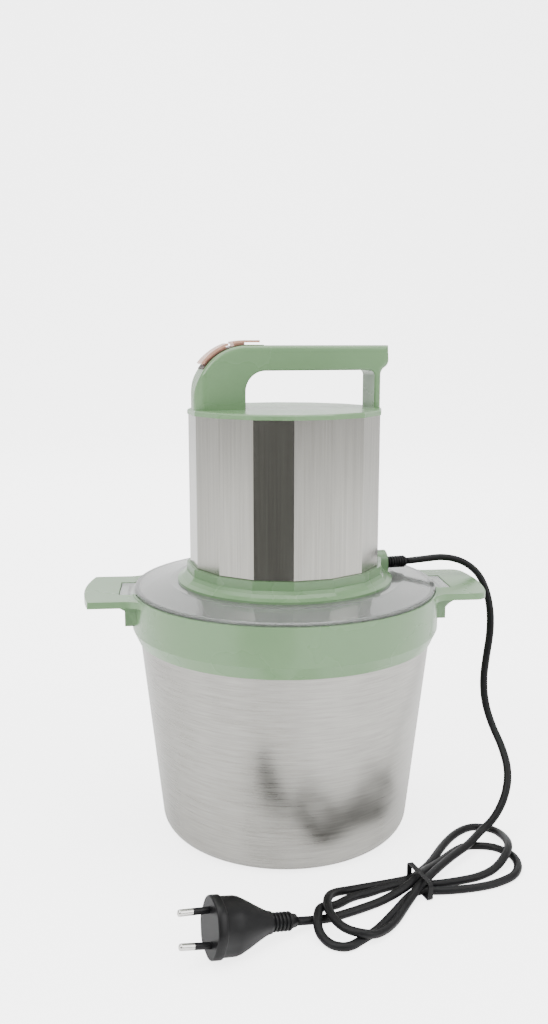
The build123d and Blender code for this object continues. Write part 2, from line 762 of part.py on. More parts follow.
with BuildPart() as gearbox_screws:
    screw_z = case_top_z + cover_thickness + 0.1
    for angle in range(0, 360, 90):
        spot = head_point(screw_orbit * cos(radians(angle)), screw_orbit * sin(radians(angle)), 0)
        extrude(disc(Plane(origin=(spot.X, spot.Y, screw_z - 8)), 1.2), amount=8)
        extrude(disc(Plane(origin=(spot.X, spot.Y, screw_z)), 2.3), amount=1.3)
save(gearbox_screws, "gearbox_screws")


def tooth_flank(teeth, low_radius, high_radius, thinning, steps=6):
    """Points up one side of an involute tooth that is centred on +X."""
    pitch_radius = module * teeth / 2
    base_radius = pitch_radius * cos(pressure)
    half_pitch_angle = pi / 2 / teeth - thinning / 2 / pitch_radius
    start = max(low_radius, base_radius)
    points = []
    for step in range(steps):
        radius = start + (high_radius - start) * step / (steps - 1)
        roll = acos(min(1.0, base_radius / radius))
        angle = half_pitch_angle + (tan(pressure) - pressure) - (tan(roll) - roll)
        points.append((radius * cos(angle), radius * sin(angle)))
    return points


def toothed(plane, teeth, root_radius, tip_radius, thinning, turned=0.0):
    """Toothed disc: an external gear, or the hollow of an internal one."""
    flank = tooth_flank(teeth, root_radius, tip_radius, thinning)
    mirrored = [(x, -y) for x, y in flank]
    sunk = (root_radius - 0.3, flank[0][1] * 1.02)
    with BuildSketch() as tooth:
        with BuildLine():
            Line(sunk, flank[0])
            Spline(*flank)
            Line(flank[-1], mirrored[-1])
            Spline(*reversed(mirrored))
            Line(mirrored[0], (sunk[0], -sunk[1]))
            Line((sunk[0], -sunk[1]), sunk)
        make_face()
    with BuildSketch(plane) as wheel:
        Circle(root_radius)
        with PolarLocations(0, teeth, start_angle=turned):
            add(tooth.sketch)
    return wheel.sketch


with BuildPart() as ring_gear:
    extrude(disc(head_level(gear_z - 0.3), ring_outside), amount=gear_width + 1)
    hollow = toothed(head_level(gear_z - 1), ring_teeth, 23.15, 25.15, -backlash, turned=180 / ring_teeth)
    extrude(hollow, amount=gear_width + 3, mode=Mode.SUBTRACT)
save(ring_gear, "ring_gear")

with BuildPart() as sun_gear:
    extrude(toothed(head_level(gear_z + 0.3), sun_teeth, 4.8, 6.95, backlash), amount=gear_width)
    extrude(disc(head_level(gear_z), shaft_end_radius + 0.02), amount=gear_width + 2, mode=Mode.SUBTRACT)
save(sun_gear, "sun_gear")

planet_pin_radius = 2.5
for number in range(3):
    with BuildPart() as planet_gear:
        angle = radians(head_turn + 120 * number)
        place = Plane(
            origin=(planet_orbit * cos(angle), planet_orbit * sin(angle), gear_z),
            x_dir=(cos(angle), sin(angle), 0),
            z_dir=(0, 0, 1),
        )
        teeth = toothed(place, planet_teeth, 7.75, 9.85, backlash, turned=180 / planet_teeth)
        extrude(teeth, amount=gear_width)
        pin_bore = disc(place.offset(-1), planet_pin_radius + running_gap)
        extrude(pin_bore, amount=gear_width + 2, mode=Mode.SUBTRACT)
    save(planet_gear, f"planet_gear_{number + 1}")

carrier_z = 168.1
with BuildPart() as planet_carrier:
    extrude(disc(head_level(carrier_z), 20.0), amount=4.9)
    extrude(disc(head_level(152.0), output_radius), amount=carrier_z - 152.0)
    with BuildSketch(level(hub_top_z - socket_depth + 1.2)):
        RegularPolygon(hex_corner, 6)
    extrude(amount=152.5 - hub_top_z + socket_depth - 1.2)
    with BuildSketch(head_level(carrier_z - 1)):
        with PolarLocations(planet_orbit, 3):
            Circle(planet_pin_radius)
    extrude(amount=7, mode=Mode.SUBTRACT)
save(planet_carrier, "planet_carrier")

with BuildPart() as planet_pins:
    with BuildSketch(head_level(carrier_z + 0.1)):
        with PolarLocations(planet_orbit, 3):
            Circle(planet_pin_radius - 0.01)
    extrude(amount=gear_z + gear_width + 0.8 - carrier_z)
save(planet_pins, "planet_pins")

with BuildPart() as output_bearing:
    ring = disc(head_level(bearing_z), output_bearing_radius, output_radius + running_gap)
    extrude(ring, amount=output_bearing_height)
save(output_bearing, "output_bearing")

with BuildPart() as output_seal:
    seal_ring = disc(head_level(neck_floor_z + 0.1), output_radius + 3.96, output_radius + running_gap)
    extrude(seal_ring, amount=2.8)
save(output_seal, "output_seal")

# ---- motor ----
bracket_z = neck_floor_z + 36.1
bracket_radius = 53.0
stack_bottom_z = 208.0
stack_height = 36.0
bolt_orbit = 43.0
lower_bearing_radius = 11.0
upper_bracket_z = 270.0
upper_bearing_radius = 9.5


def bracket_face(height, hole):
    """Motor end plate with holes for the tie screws and the through bolts, and cooling windows."""
    with BuildSketch(head_level(height)) as plate:
        Circle(bracket_radius)
        Circle(hole, mode=Mode.SUBTRACT)
        with PolarLocations(tie_orbit, 4, start_angle=45):
            Circle(2.3, mode=Mode.SUBTRACT)
        with PolarLocations(bolt_orbit, 4):
            Circle(2.15, mode=Mode.SUBTRACT)
        with PolarLocations(29, 4, start_angle=45):
            SlotOverall(24, 12, rotation=90, mode=Mode.SUBTRACT)
    return plate.sketch


with BuildPart() as lower_bracket:
    extrude(bracket_face(bracket_z, shaft_radius + 2), amount=2.8)
    extrude(disc(head_level(bracket_z + 2.8), 14.0, lower_bearing_radius + 0.03), amount=7.2)
save(lower_bracket, "lower_bracket")

with BuildPart() as lower_bearing:
    bearing_face = disc(head_level(bracket_z + 2.9), lower_bearing_radius, shaft_radius + running_gap)
    extrude(bearing_face, amount=7)
save(lower_bearing, "lower_bearing")

with BuildPart() as stator_core:
    with BuildSketch(head_level(stack_bottom_z)):
        Circle(46)
        Circle(40, mode=Mode.SUBTRACT)
        Rectangle(82, 26)
        with PolarLocations(0, 2):
            with Locations((25.5, 0)):
                Rectangle(6, 38)
        Circle(24.6, mode=Mode.SUBTRACT)
        with PolarLocations(bolt_orbit, 4):
            Circle(2.1, mode=Mode.SUBTRACT)
    extrude(amount=stack_height)
save(stator_core, "stator_core")

with BuildPart() as field_coils:
    for side in (1, -1):
        with BuildSketch(head_end(side * 29.2)):
            with Locations((0, stack_bottom_z + stack_height / 2)):
                RectangleRounded(40, stack_height + 12, 6)
                Rectangle(26.4, stack_height + 0.4, mode=Mode.SUBTRACT)
        extrude(amount=side * 4.6)
save(field_coils, "field_coils")

with BuildPart() as armature_core:
    with BuildSketch(head_level(stack_bottom_z)):
        Circle(24.0)
        Circle(shaft_radius + 0.02, mode=Mode.SUBTRACT)
        with PolarLocations(17, 12):
            SlotOverall(10, 3, mode=Mode.SUBTRACT)
        with PolarLocations(23, 12):
            Rectangle(3, 1.2, mode=Mode.SUBTRACT)
    extrude(amount=stack_height)
save(armature_core, "armature_core")

with BuildPart() as armature_windings:
    with BuildSketch(head_level(stack_bottom_z - 5)):
        with PolarLocations(17, 12):
            SlotOverall(9.6, 2.6)
    extrude(amount=stack_height + 10)
    extrude(disc(head_level(stack_bottom_z - 5), 21.5, 9.0), amount=4.9)
    extrude(disc(head_level(stack_bottom_z + stack_height + 0.1), 21.5, 9.0), amount=7.5)
save(armature_windings, "armature_windings")

commutator_radius = 11.0
commutator_z = 254.0
with BuildPart() as commutator:
    extrude(disc(head_level(commutator_z), commutator_radius, shaft_radius + 0.02), amount=14.5)
    with BuildSketch(head_level(commutator_z)):
        with PolarLocations(commutator_radius, 24):
            Rectangle(2.4, 0.5)
    extrude(amount=15, mode=Mode.SUBTRACT)
save(commutator, "commutator")

shaft_top_z = 292.0
with BuildPart() as motor_shaft:
    extrude(disc(head_level(gear_z + 0.3), shaft_end_radius), amount=shaft_top_z - gear_z - 0.3)
    extrude(disc(head_level(bracket_z + 1), shaft_radius), amount=upper_bracket_z + 1 - bracket_z)
save(motor_shaft, "motor_shaft")

with BuildPart() as upper_bracket:
    extrude(bracket_face(upper_bracket_z, shaft_radius + 2), amount=2.5)
    extrude(disc(head_level(upper_bracket_z + 2.5), 12.5, upper_bearing_radius + 0.03), amount=6.1)
save(upper_bracket, "upper_bracket")

with BuildPart() as upper_bearing:
    bearing_plane = head_level(upper_bracket_z + 2.6)
    bearing_face = disc(bearing_plane, upper_bearing_radius, shaft_end_radius + running_gap)
    extrude(bearing_face, amount=6)
save(upper_bearing, "upper_bearing")

fan_z = 281.0
fan_blades = 11
with BuildPart() as cooling_fan:
    extrude(disc(head_level(fan_z), 7.0, shaft_end_radius + 0.02), amount=9)
    extrude(disc(head_level(fan_z), 38.0, shaft_end_radius + 0.02), amount=1.6)
    with BuildSketch(head_level(fan_z)):
        with PolarLocations(26, fan_blades):
            Rectangle(22, 1.4, rotation=28)
    extrude(amount=9)
save(cooling_fan, "cooling_fan")

with BuildPart() as through_bolts:
    for angle in range(0, 360, 90):
        spot = head_point(bolt_orbit * cos(radians(angle)), bolt_orbit * sin(radians(angle)), 0)
        extrude(disc(Plane(origin=(spot.X, spot.Y, bracket_z - 2.2)), 3.4), amount=2.1)
        bolt_face = disc(Plane(origin=(spot.X, spot.Y, bracket_z - 1)), 2.0)
        extrude(bolt_face, amount=upper_bracket_z + 7 - bracket_z)
        with BuildSketch(Plane(origin=(spot.X, spot.Y, upper_bracket_z + 2.6))):
            RegularPolygon(3.9, 6)
        extrude(amount=3)
save(through_bolts, "through_bolts")

brush_z = 262.0
with BuildPart() as brush_holders:
    for side in (1, -1):
        with BuildSketch(head_level(brush_z - 5.5)):
            with Locations((0, side * 23)):
                Rectangle(10, 20)
        extrude(amount=11)
        with BuildSketch(head_level(brush_z + 5.5)):
            with Locations((0, side * 25)):
                Rectangle(14, 14)
        extrude(amount=upper_bracket_z - brush_z - 5.6)
        with BuildSketch(head_level(brush_z - 4.1)):
            with Locations((0, side * 22)):
                Rectangle(6.3, 20)
        extrude(amount=8.2, mode=Mode.SUBTRACT)
save(brush_holders, "brush_holders")

with BuildPart() as carbon_brushes:
    for side in (1, -1):
        with BuildSketch(head_level(brush_z - 4)):
            with Locations((0, side * 19)):
                Rectangle(6, 20)
        extrude(amount=8)
    extrude(disc(head_level(brush_z - 5), commutator_radius + 0.04), amount=10, mode=Mode.SUBTRACT)
save(carbon_brushes, "carbon_brushes")

with BuildPart() as tie_screws:
    for angle in tie_angles:
        spot = head_point(tie_orbit * cos(radians(angle)), tie_orbit * sin(radians(angle)), 0)
        extrude(disc(Plane(origin=(spot.X, spot.Y, neck_floor_z + 0.6)), 3.6), amount=3.3)
        extrude(disc(Plane(origin=(spot.X, spot.Y, neck_floor_z + 3)), 1.9), amount=286 - neck_floor_z)
        extrude(disc(Plane(origin=(spot.X, spot.Y, 285)), 1.75), amount=10)
save(tie_screws, "tie_screws")

# ---- wiring from the gland up to the switches ----
with BuildPart() as wiring:
    for side in (1.7, -1.7):
        with BuildLine() as lead:
            FilletPolyline(
                head_point(61.5, side, gland_z - 0.5),
                head_point(58.0, side, gland_z + 3),
                head_point(58.0, side, 294.8),
                head_point(-46.0, side, 294.8),
                head_point(-46.0, side, 311.0),
                radius=2.2,
            )
        with BuildSketch(Plane(origin=lead.line @ 0, z_dir=lead.line % 0)) as wire:
            Circle(1.1)
        sweep(wire.sketch, path=lead.line)
save(wiring, "wiring")
# ---- gland and mains lead ----
gland_bore_gap = 0.1
gland_inner_x = 62.5
with BuildPart() as strain_relief:
    with BuildSketch(head_end(gland_inner_x)):
        with Locations((0, gland_z)):
            Circle(3.6 - gland_bore_gap)
    extrude(amount=gland_x - gland_inner_x + 0.1)
    with BuildSketch(head_end(gland_x + 0.05)):
        with Locations((0, gland_z)):
            Circle(5.4)
    extrude(amount=1.2)
    with BuildSketch(head_end(gland_x + 1.25)):
        with Locations((0, gland_z)):
            Circle(4.5)
    extrude(amount=gland_end_x - gland_x - 1.25, taper=1.5)
    # bending grooves
    for groove in range(4):
        with BuildSketch(head_end(gland_x + 3.4 + 2.6 * groove)):
            with Locations((0, gland_z)):
                Circle(6)
                Circle(3.5, mode=Mode.SUBTRACT)
        extrude(amount=0.9, mode=Mode.SUBTRACT)
save(strain_relief, "strain_relief")

lead_start = head_point(gland_end_x, 0, gland_z)
lead_route = [
    (lead_start.X, lead_start.Y, lead_start.Z),
    (106.5, 19.2, 187.0),
    (121.0, 20.8, 188.2),
    (135.0, 20.6, 185.2),
    (146.5, 18.4, 177.5),
    (152.5, 13.5, 166.0),
    (155.0, 8.0, 150.5),
    (154.0, 3.0, 134.0),
    (150.5, -0.5, 117.0),
    (148.0, -3.0, 100.5),
    (148.2, -7.5, 84.0),
    (151.5, -16.0, 69.0),
    (156.0, -28.5, 56.5),
    (157.0, -41.0, 43.5),
    (151.5, -51.5, 30.0),
    (141.5, -58.5, 17.0),
    (128.0, -66.0, 8.5),
]
plug_face = Vector(-60.5, -170.3, 18.9)
plug_end = Vector(-8.6, -150.1, 7.3)
tail_route = [
    (plug_end.X, plug_end.Y, plug_end.Z),
    (1.0, -146.4, 4.4),
    (12.0, -142.8, 3.2),
]


def cord_tube(route):
    """Round cord along straight runs joined by tangent arcs, with each arc as large as its runs allow."""
    points = [Vector(*p) for p in route]
    radii = []
    for before, here, after in zip(points, points[1:], points[2:]):
        turn = (here - before).get_angle(after - here)
        shorter = min((here - before).length, (after - here).length)
        radii.append(0.45 * shorter / tan(radians(turn) / 2))
    print("cord radii", [round(r) for r in radii])
    with BuildPart() as cord:
        with BuildLine() as line:
            FilletPolyline(*points, radius=radii)
        with BuildSketch(Plane(origin=line.line @ 0, z_dir=line.line % 0)) as section:
            Circle(cord_radius)
        sweep(section.sketch, path=line.line)
    length = line.wires()[0].length
    share = cord.part.volume / (pi * cord_radius**2 * length)
    print("cord length", round(length, 1), "volume share", round(share, 4))
    return cord


cord_lead = cord_tube(lead_route)
save(cord_lead, "cord_lead")
cord_tail = cord_tube(tail_route)
save(cord_tail, "cord_tail")

# two loose lobes of folded lead, tied in the middle
hank_height = 10.6
right_lobe = [
    (76, -97), (101, -62.5), (126, -38.5), (146, -41.5), (152.5, -63), (151, -92), (141, -111),
    (104, -122), (78, -126),
]
left_lobe = [
    (76, -100), (42, -107.5), (14, -121), (1.5, -142), (2.5, -163), (13, -174), (28, -171),
    (52, -147), (70, -128),
]
with BuildPart() as cord_hank:
    for lobe in (right_lobe, left_lobe):
        with BuildSketch(level(0.1)):
            with BuildLine():
                Spline(*lobe, periodic=True)
            make_face()
        extrude(amount=hank_height)
    extrude(block(Plane(origin=(75, -112.5, 0.1)), 16, 24), amount=hank_height)
save(cord_hank, "cord_hank")

with BuildPart() as cord_tie:
    tie_plane = Plane(origin=(75.5, -113, 0), x_dir=(-0.26, 0.966, 0), z_dir=(0.966, 0.26, 0))
    tie_plane = tie_plane.offset(-1.6)
    with BuildSketch(tie_plane):
        with Locations((0, 6.1)):
            RectangleRounded(29, 12.1, 2.5)
            RectangleRounded(27, 10.1, 1.5, mode=Mode.SUBTRACT)
    extrude(amount=3.2)
save(cord_tie, "cord_tie")

# ---- two-pin plug lying on one of its slanted sides ----
plug_axis = (plug_end - plug_face).normalized()
pin_line = Vector(-0.0527, 0.5496, 0.8337)
pin_line = (pin_line - plug_axis * pin_line.dot(plug_axis)).normalized()
plug_length = (plug_end - plug_face).length
plug_width = 35.0
plug_depth = 26.0
pin_spacing = 18.6
pin_length = 19.0
pin_radius = 2.0
sleeve_length = 10.0


def plug_plane(distance):
    """Plane across the plug, its X along the line between the pins, at a distance from the pin face."""
    return Plane(origin=plug_face + plug_axis * distance, x_dir=pin_line, z_dir=plug_axis)


def plug_section(distance, width, depth):
    """Six-sided section of the plug, longest between the pins."""
    with BuildSketch(plug_plane(distance)) as section:
        flat_half = width / 2 * 0.42
        with BuildLine():
            Polyline(
                (width / 2, depth * 0.16),
                (flat_half, depth / 2),
                (-flat_half, depth / 2),
                (-width / 2, depth * 0.16),
                (-width / 2, -depth * 0.16),
                (-flat_half, -depth / 2),
                (flat_half, -depth / 2),
                (width / 2, -depth * 0.16),
                close=True,
            )
        make_face()
    return section.sketch


with BuildPart() as plug_body:
    extrude(plug_section(0, plug_width, plug_depth), amount=6.0)
    extrude(plug_section(5.9, plug_width - 2, plug_depth - 2), amount=9.1)
    loft([plug_section(15.0, plug_width - 2, plug_depth - 2).face(), plug_section(37.0, 13.5, 13.0).face()])
    extrude(plug_section(36.9, 12.6, 12.2), amount=plug_length - 36.9)
    for groove in (40.0, 46.0, 51.0):
        with BuildSketch(plug_plane(groove)):
            Circle(9)
            Circle(4.2, mode=Mode.SUBTRACT)
        extrude(amount=1.6, mode=Mode.SUBTRACT)
save(plug_body, "plug_body")

with BuildPart() as plug_pins:
    for side in (1, -1):
        foot = plug_face - plug_axis * 0.07 + pin_line * (side * pin_spacing / 2)
        lean = (plug_axis * -1 - pin_line * (side * 0.03)).normalized()
        extrude(disc(Plane(origin=foot, z_dir=lean), pin_radius - 0.45), amount=sleeve_length + 0.3)
        tip = disc(Plane(origin=foot + lean * (sleeve_length + 0.1), z_dir=lean), pin_radius)
        extrude(tip, amount=pin_length - sleeve_length)
    pin_ends = plug_pins.faces().filter_by(GeomType.PLANE)
    pin_tips = pin_ends.sort_by(Axis(tuple(plug_face), tuple(plug_axis)))[:2]
    fillet(pin_tips.edges(), 1.2)
save(plug_pins, "plug_pins")

with BuildPart() as plug_pin_sleeves:
    for side in (1, -1):
        foot = plug_face - plug_axis * 0.14 + pin_line * (side * pin_spacing / 2)
        lean = (plug_axis * -1 - pin_line * (side * 0.03)).normalized()
        sleeve_face = disc(Plane(origin=foot, z_dir=lean), pin_radius, pin_radius - 0.43)
        extrude(sleeve_face, amount=sleeve_length - 0.1)
save(plug_pin_sleeves, "plug_pin_sleeves")
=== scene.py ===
from math import cos, pi, radians, sin

import bmesh
import bpy
from mathutils import Matrix, Vector


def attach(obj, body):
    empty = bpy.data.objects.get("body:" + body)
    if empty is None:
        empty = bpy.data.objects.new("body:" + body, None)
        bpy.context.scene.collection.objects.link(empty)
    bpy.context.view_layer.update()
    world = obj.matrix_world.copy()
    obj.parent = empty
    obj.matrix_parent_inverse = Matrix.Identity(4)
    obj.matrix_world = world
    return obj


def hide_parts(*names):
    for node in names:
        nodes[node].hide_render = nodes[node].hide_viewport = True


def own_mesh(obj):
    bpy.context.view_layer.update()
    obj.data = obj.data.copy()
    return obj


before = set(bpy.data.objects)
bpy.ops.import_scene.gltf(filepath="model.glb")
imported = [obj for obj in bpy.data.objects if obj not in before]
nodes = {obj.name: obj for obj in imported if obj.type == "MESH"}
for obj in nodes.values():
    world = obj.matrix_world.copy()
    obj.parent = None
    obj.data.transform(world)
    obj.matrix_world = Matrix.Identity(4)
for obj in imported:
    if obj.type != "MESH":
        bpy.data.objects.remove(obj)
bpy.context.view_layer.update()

mm = 0.001
scene = bpy.context.scene


# camera, floor and light
shot = {
    "place": (-70.5, -670.3, 346.0),  # mm
    "turn": -5.35,  # degrees about Z
    "dip": 9.97,
    "lens": 33.95,
    "sensor": 36.0,
    "farthest": 30,  # m
}
cameraData = bpy.data.cameras.new("camera")
cameraData.sensor_fit = "VERTICAL"
cameraData.sensor_height = shot["sensor"]
cameraData.lens = shot["lens"]
cameraData.clip_end = shot["farthest"]
camera = bpy.data.objects.new("camera", cameraData)
scene.collection.objects.link(camera)
camera.location = Vector(shot["place"]) * mm
camera.rotation_euler = (radians(90 - shot["dip"]), 0, radians(shot["turn"]))
scene.camera = camera


def newMaterial(name):
    material = bpy.data.materials.new(name)
    material.use_nodes = True
    tree = material.node_tree
    shader = tree.nodes["Principled BSDF"]
    return material, tree, shader


def addNode(tree, kind, inputs=None, **settings):
    node = tree.nodes.new(kind)
    for key, value in settings.items():
        setattr(node, key, value)
    for key, value in (inputs or {}).items():
        if isinstance(value, bpy.types.NodeSocket):
            tree.links.new(value, node.inputs[key])
        else:
            node.inputs[key].default_value = value
    return node


def joinMesh(name, build):
    work = bmesh.new()
    build(work)
    mesh = bpy.data.meshes.new(name)
    work.to_mesh(mesh)
    work.free()
    piece = bpy.data.objects.new(name, mesh)
    scene.collection.objects.link(piece)
    return piece


sweep = {"front": -4.0, "back": 2.6, "radius": 1.6, "top": 5.0, "halfWidth": 6.0, "steps": 24}


def buildSweep(work):
    line = [(sweep["front"], 0.0)]
    for step in range(sweep["steps"] + 1):
        angle = pi / 2 * step / sweep["steps"]
        reach = sweep["radius"]
        line.append((sweep["back"] + reach * sin(angle), reach * (1 - cos(angle))))
    line.append((sweep["back"] + sweep["radius"], sweep["top"]))
    rows = [[work.verts.new((x, y, z)) for y, z in line] for x in (-sweep["halfWidth"], sweep["halfWidth"])]
    for i in range(len(line) - 1):
        face = work.faces.new((rows[0][i], rows[1][i], rows[1][i + 1], rows[0][i + 1]))
        face.smooth = True


floor = joinMesh("studioFloor", buildSweep)
paperLook = {"colour": (0.93, 0.93, 0.935, 1), "roughness": 0.7, "shine": 0.2, "glowLit": 0.55, "glowSeen": 3.4}
paper, paperTree, paperShader = newMaterial("studioPaper")
paperShader.inputs["Base Color"].default_value = paperLook["colour"]
paperShader.inputs["Emission Color"].default_value = (1, 1, 1, 1)
seenPaper = addNode(paperTree, "ShaderNodeLightPath").outputs["Is Camera Ray"]
paperGlow = addNode(
    paperTree, "ShaderNodeMapRange",
    {"Value": seenPaper, "To Min": paperLook["glowLit"], "To Max": paperLook["glowSeen"]},
)
paperTree.links.new(paperGlow.outputs["Result"], paperShader.inputs["Emission Strength"])
paperShader.inputs["Roughness"].default_value = paperLook["roughness"]
paperShader.inputs["Specular IOR Level"].default_value = paperLook["shine"]
floor.data.materials.append(paper)

# room seen by glossy surfaces: bright all round, with a dim gap where the operator stands
roomLook = {
    "warmth": 0.985, "ceilingStart": 0.15, "ceilingFull": 0.75, "ceiling": (0.98, 0.98, 0.98, 1), "light": 0.85,
    "backdrop": (0.97, 0.97, 0.97, 1), "backdropLight": 7.0,
}
world = bpy.data.worlds.new("studioRoom")
scene.world = world
world.use_nodes = True
sky = world.node_tree
sky.nodes.clear()
direction = addNode(sky, "ShaderNodeTexCoord").outputs["Generated"]
parts = addNode(sky, "ShaderNodeSeparateXYZ", {"Vector": direction})
bearing = addNode(
    sky, "ShaderNodeMath", {0: parts.outputs["X"], 1: parts.outputs["Y"]}, operation="ARCTAN2"
).outputs["Value"]
# bearing is 0 along +Y and grows towards +X, so pi is behind the operator
fraction = addNode(
    sky, "ShaderNodeMapRange",
    {"Value": bearing, "From Min": -pi, "From Max": pi, "To Min": 0.0, "To Max": 1.0},
).outputs["Result"]
room = addNode(sky, "ShaderNodeValToRGB", {"Fac": fraction})
roomBands = [  # share of the turn from the operator, brightness
    (0.0, 0.10), (0.035, 0.12), (0.06, 0.75), (0.12, 0.95), (0.20, 0.62), (0.30, 0.8),
    (0.5, 1.0), (0.66, 0.9), (0.76, 0.55), (0.86, 0.9), (0.93, 0.7), (0.965, 0.16), (1.0, 0.10),
]
ramp = room.color_ramp
while len(ramp.elements) < len(roomBands):
    ramp.elements.new(0.5)
for element, (place, bright) in zip(ramp.elements, roomBands):
    element.position = place
for element, (place, bright) in zip(ramp.elements, roomBands):
    element.color = (bright, bright, bright * roomLook["warmth"], 1)
height = addNode(
    sky, "ShaderNodeMapRange",
    {"Value": parts.outputs["Z"], "From Min": roomLook["ceilingStart"], "From Max": roomLook["ceilingFull"]},
).outputs["Result"]
ceiling = addNode(
    sky, "ShaderNodeMix",
    {"Factor": height, 6: room.outputs["Color"], 7: roomLook["ceiling"]}, data_type="RGBA",
).outputs[2]
roomLight = addNode(sky, "ShaderNodeBackground", {"Color": ceiling, "Strength": roomLook["light"]})
plain = addNode(
    sky, "ShaderNodeBackground", {"Color": roomLook["backdrop"], "Strength": roomLook["backdropLight"]}
)
seen = addNode(sky, "ShaderNodeLightPath").outputs["Is Camera Ray"]
both = addNode(
    sky, "ShaderNodeMixShader", {0: seen, 1: roomLight.outputs[0], 2: plain.outputs[0]}
)
addNode(sky, "ShaderNodeOutputWorld", {"Surface": both.outputs[0]})

# dark card in front, seen only in the metal
card = {
    "bearing": -108.0, "away": 0.52, "halfWidth": 0.17, "bottom": -0.02, "top": 0.5,
    "colour": (0.13, 0.13, 0.125, 1), "roughness": 0.9,
}


def buildCard(work):
    turn = radians(card["bearing"])
    middle = Vector((cos(turn), sin(turn), 0)) * card["away"]
    along = Vector((-sin(turn), cos(turn), 0)) * card["halfWidth"]
    corners = [middle - along, middle + along]
    low = [work.verts.new((*point.xy, card["bottom"])) for point in corners]
    high = [work.verts.new((*point.xy, card["top"])) for point in corners]
    work.faces.new((low[0], low[1], high[1], high[0]))


darkCard = joinMesh("darkCard", buildCard)
cardPaint, cardTree, cardShader = newMaterial("cardPaint")
cardShader.inputs["Base Color"].default_value = card["colour"]
cardShader.inputs["Roughness"].default_value = card["roughness"]
darkCard.data.materials.append(cardPaint)
darkCard.visible_camera = False
darkCard.visible_diffuse = False
darkCard.visible_shadow = False
darkCard.visible_transmission = False

lamps = {
    "keyLeft": {"place": (-1.1, -1.0, 1.5), "aim": (0, 0, 0.15), "size": 1.1, "power": 24},
    "fillRight": {"place": (1.3, -0.8, 1.1), "aim": (0, 0, 0.15), "size": 1.1, "power": 14},
    "topSoft": {"place": (0.0, 0.15, 1.9), "aim": (0, 0, 0.1), "size": 1.8, "power": 34},
    "backWash": {"place": (0.0, 1.6, 1.6), "aim": (0, 2.6, 0.6), "size": 1.6, "power": 30},
}
for name, lamp in lamps.items():
    data = bpy.data.lights.new(name, "AREA")
    data.size = lamp["size"]
    data.energy = lamp["power"]
    light = bpy.data.objects.new(name, data)
    light.location = lamp["place"]
    ray = Vector(lamp["aim"]) - Vector(lamp["place"])
    light.rotation_euler = ray.to_track_quat("-Z", "Y").to_euler()
    scene.collection.objects.link(light)
print("camera, floor and light ready")


# materials
def objectPoint(tree, scale=(1, 1, 1), rotation=(0, 0, 0), place=(0, 0, 0)):
    source = addNode(tree, "ShaderNodeTexCoord").outputs["Object"]
    return addNode(
        tree, "ShaderNodeMapping",
        {"Vector": source, "Scale": scale, "Rotation": rotation, "Location": place},
    ).outputs["Vector"]


def noise(tree, vector, scale, detail=3.0, rough=0.5):
    return addNode(
        tree, "ShaderNodeTexNoise",
        {"Vector": vector, "Scale": scale, "Detail": detail, "Roughness": rough},
    ).outputs["Fac"]


def spread(tree, value, low, high, lowest=0.3, highest=0.7):
    return addNode(
        tree, "ShaderNodeMapRange",
        {"Value": value, "From Min": lowest, "From Max": highest, "To Min": low, "To Max": high},
    ).outputs["Result"]


def shadeBetween(tree, factor, dark, pale):
    return addNode(
        tree, "ShaderNodeMix", {"Factor": factor, 6: (*dark, 1), 7: (*pale, 1)}, data_type="RGBA"
    ).outputs[2]


def relief(tree, shader, value, strength, distance):
    bump = addNode(
        tree, "ShaderNodeBump", {"Height": value, "Strength": strength, "Distance": distance}
    )
    tree.links.new(bump.outputs["Normal"], shader.inputs["Normal"])


cloudScale = 22
grainDepth = 0.0002  # m
streakDepth = 0.0001


def mouldedPlastic(name, look):
    material, tree, shader = newMaterial(name)
    grain = noise(tree, objectPoint(tree), look.get("grainScale", 900), 2)
    cloud = noise(tree, objectPoint(tree), cloudScale, 3)
    pale = tuple(min(1, c * (1 + look.get("cloud", 0.04))) for c in look["colour"])
    dark = tuple(c * (1 - look.get("cloud", 0.04)) for c in look["colour"])
    tree.links.new(shadeBetween(tree, spread(tree, cloud, 0, 1), dark, pale), shader.inputs["Base Color"])
    low, high = look["roughness"]
    tree.links.new(spread(tree, cloud, low, high), shader.inputs["Roughness"])
    relief(tree, shader, grain, look.get("bump", 0.08), grainDepth)
    for key, value in look.get("set", {}).items():
        shader.inputs[key].default_value = value
    return material


def brushedMetal(name, look):
    material, tree, shader = newMaterial(name)
    streak = noise(tree, objectPoint(tree, look["stretch"]), look.get("streakScale", 1.0), 4, 0.6)
    patch = noise(tree, objectPoint(tree, look.get("patchStretch", (1, 1, 1))), look["patchScale"], 3)
    blend = addNode(tree, "ShaderNodeMath", {0: streak, 1: patch}, operation="ADD").outputs[0]
    half = addNode(tree, "ShaderNodeMath", {0: blend, 1: 0.5}, operation="MULTIPLY").outputs[0]
    tint = shadeBetween(tree, spread(tree, half, 0, 1), look["dark"], look["pale"])
    tree.links.new(tint, shader.inputs["Base Color"])
    shader.inputs["Metallic"].default_value = 1.0
    low, high = look["roughness"]
    tree.links.new(spread(tree, half, low, high), shader.inputs["Roughness"])
    relief(tree, shader, streak, look.get("bump", 0.05), streakDepth)
    for key, value in look.get("set", {}).items():
        shader.inputs[key].default_value = value
    return material


